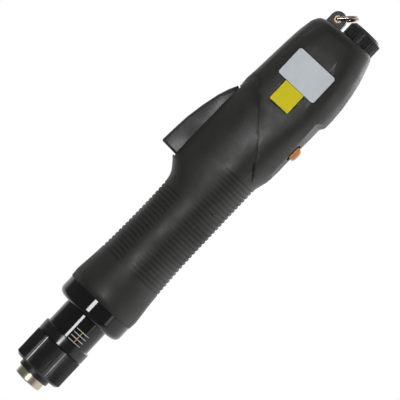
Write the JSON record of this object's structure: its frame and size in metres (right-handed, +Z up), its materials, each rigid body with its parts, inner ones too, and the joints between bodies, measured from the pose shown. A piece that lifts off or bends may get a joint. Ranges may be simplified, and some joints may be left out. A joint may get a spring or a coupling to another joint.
{
  "type": "electric torque screwdriver",
  "caption": "Lever-start electric torque screwdriver with a quick-change hexagon bit socket, knurled torque collar over a scale sleeve, grooved grip, reverse knob, cable inlet and hanging bail.",
  "frame": {"origin": "centre of the mouth of the bit socket, on the spindle axis", "axes": "+Z up the tool along the spindle axis to the hanger, -Y towards the name plate, -X towards the start lever, +X towards the reverse knob"},
  "size_m": [0.0621, 0.0454, 0.2786],
  "materials": {
    "shell_black": "fine satin moulding",
    "gloss_black": "polished",
    "collar_black": "black anodised",
    "bush_black": "satin",
    "chuck_nickel": "nickel plated",
    "steel": "ground",
    "dark_steel": "blackened",
    "spring_steel": "drawn wire",
    "bronze": "sintered",
    "copper": "enamelled wire",
    "magnet": "ground",
    "cap_metal": "die cast",
    "board_green": "solder mask",
    "part_black": "moulded",
    "plunger_red": "moulded",
    "lever_grey": "satin",
    "knob_orange": "satin",
    "plate_silver": "satin label",
    "plate_yellow": "printed label",
    "contact_gold": "plated",
    "eyelet_metal": "plated",
    "bail_metal": "plated wire",
    "socket_black": "moulded"
  },
  "bodies": {
    "root": {"housing_front": "shell_black", "housing_back": "shell_black", "housing_screws": "dark_steel", "coupling_ring": "gloss_black", "scale_sleeve": "gloss_black", "spindle_bearing": "steel", "ring_gear": "dark_steel", "gear_cover": "cap_metal", "motor_can": "dark_steel", "motor_end_cap": "cap_metal", "motor_stator": "dark_steel", "motor_windings": "copper", "motor_bearings": "steel", "controller_board": "board_green", "board_parts": "part_black", "start_switch": "part_black", "lever_pin": "steel", "lever_spring": "spring_steel", "reverse_switch": "part_black", "inlet_body": "socket_black", "inlet_contacts": "contact_gold", "hanger_lug": "bush_black", "hanger_eyelet": "eyelet_metal", "nameplate": "plate_silver", "accent_plate": "plate_yellow"},
    "seat": {"spring_seat": "steel", "spindle_bush": "bronze", "clutch_spring": "spring_steel"},
    "collar": {"torque_collar": "collar_black", "lock_ring": "collar_black", "nose_bush": "bush_black"},
    "spindle": {"output_spindle": "steel", "spindle_clips": "dark_steel", "chuck_balls": "steel", "chuck_spring": "spring_steel", "clutch_cam": "steel", "clutch_balls": "steel", "drive_plate": "steel", "planet_carrier": "steel", "planet_pins": "steel"},
    "chuck": {"chuck_sleeve": "chuck_nickel"},
    "planet_1": {"planet_gear_1": "steel"},
    "planet_2": {"planet_gear_2": "steel"},
    "planet_3": {"planet_gear_3": "steel"},
    "rotor": {"motor_shaft": "steel", "motor_rotor": "magnet", "sun_gear": "steel"},
    "lever": {"lever": "lever_grey"},
    "plunger": {"start_plunger": "plunger_red"},
    "knob": {"reverse_knob": "knob_orange"},
    "bail": {"hanger_bail": "bail_metal"},
    "inlet_ring": {"connector_ring": "bush_black"}
  },
  "joints": [
    {"name": "seat_slide", "type": "slide", "parent": "root", "child": "seat", "axis": [0, 0, 1], "range_m": [0, 0.0075], "deforming": ["clutch_spring"]},
    {"name": "collar_turn", "type": "hinge", "parent": "seat", "child": "collar", "pos_m": [0, 0, 0.0085], "axis": [0, 0, 1], "range_deg": [0, 1800]},
    {"name": "spindle_spin", "type": "hinge", "parent": "root", "child": "spindle", "pos_m": [0, 0, 0], "axis": [0, 0, 1], "continuous": true},
    {"name": "planet_1_spin", "type": "hinge", "parent": "spindle", "child": "planet_1", "pos_m": [0, 0.00825, 0.0643], "axis": [0, 0, 1], "continuous": true},
    {"name": "planet_2_spin", "type": "hinge", "parent": "spindle", "child": "planet_2", "pos_m": [-0.00714, -0.00413, 0.0643], "axis": [0, 0, 1], "continuous": true},
    {"name": "planet_3_spin", "type": "hinge", "parent": "spindle", "child": "planet_3", "pos_m": [0.00714, -0.00413, 0.0643], "axis": [0, 0, 1], "continuous": true},
    {"name": "rotor_spin", "type": "hinge", "parent": "root", "child": "rotor", "pos_m": [0, 0, 0.0964], "axis": [0, 0, 1], "continuous": true},
    {"name": "chuck_slide", "type": "slide", "parent": "spindle", "child": "chuck", "axis": [0, 0, 1], "range_m": [0, 0.0025], "stiffness_N_per_m": 1500, "springref_m": -0.0015, "deforming": ["chuck_spring"]},
    {"name": "lever_press", "type": "hinge", "parent": "root", "child": "lever", "pos_m": [-0.0203, 0, 0.2056], "axis": [0, -1, 0], "range_deg": [0, 5], "stiffness_Nm_per_rad": 0.9, "springref_deg": -6.88, "deforming": ["lever_spring"]},
    {"name": "plunger_slide", "type": "slide", "parent": "root", "child": "plunger", "axis": [1, 0, 0], "range_m": [0, 0.0035]},
    {"name": "knob_slide", "type": "slide", "parent": "root", "child": "knob", "axis": [0, 0, 1], "range_m": [-0.002, 0.002]},
    {"name": "bail_swing", "type": "hinge", "parent": "root", "child": "bail", "pos_m": [-0.0112, 0, 0.2694], "axis": [0, 1, 0], "range_deg": [-125, 0]},
    {"name": "inlet_ring_turn", "type": "hinge", "parent": "root", "child": "inlet_ring", "pos_m": [0.0063, 0, 0.27], "axis": [0, 0, 1], "continuous": true}
  ],
  "couplings": [
    {"joint": "collar_turn", "follows": "seat_slide", "rad_per_m": 4188.8},
    {"joint": "rotor_spin", "follows": "spindle_spin", "ratio": 5},
    {"joint": "plunger_slide", "follows": "lever_press", "m_per_rad": 0.03955},
    {"joint": "planet_1_spin", "follows": "spindle_spin", "ratio": -2.6667},
    {"joint": "planet_2_spin", "follows": "spindle_spin", "ratio": -2.6667},
    {"joint": "planet_3_spin", "follows": "spindle_spin", "ratio": -2.6667}
  ]
}
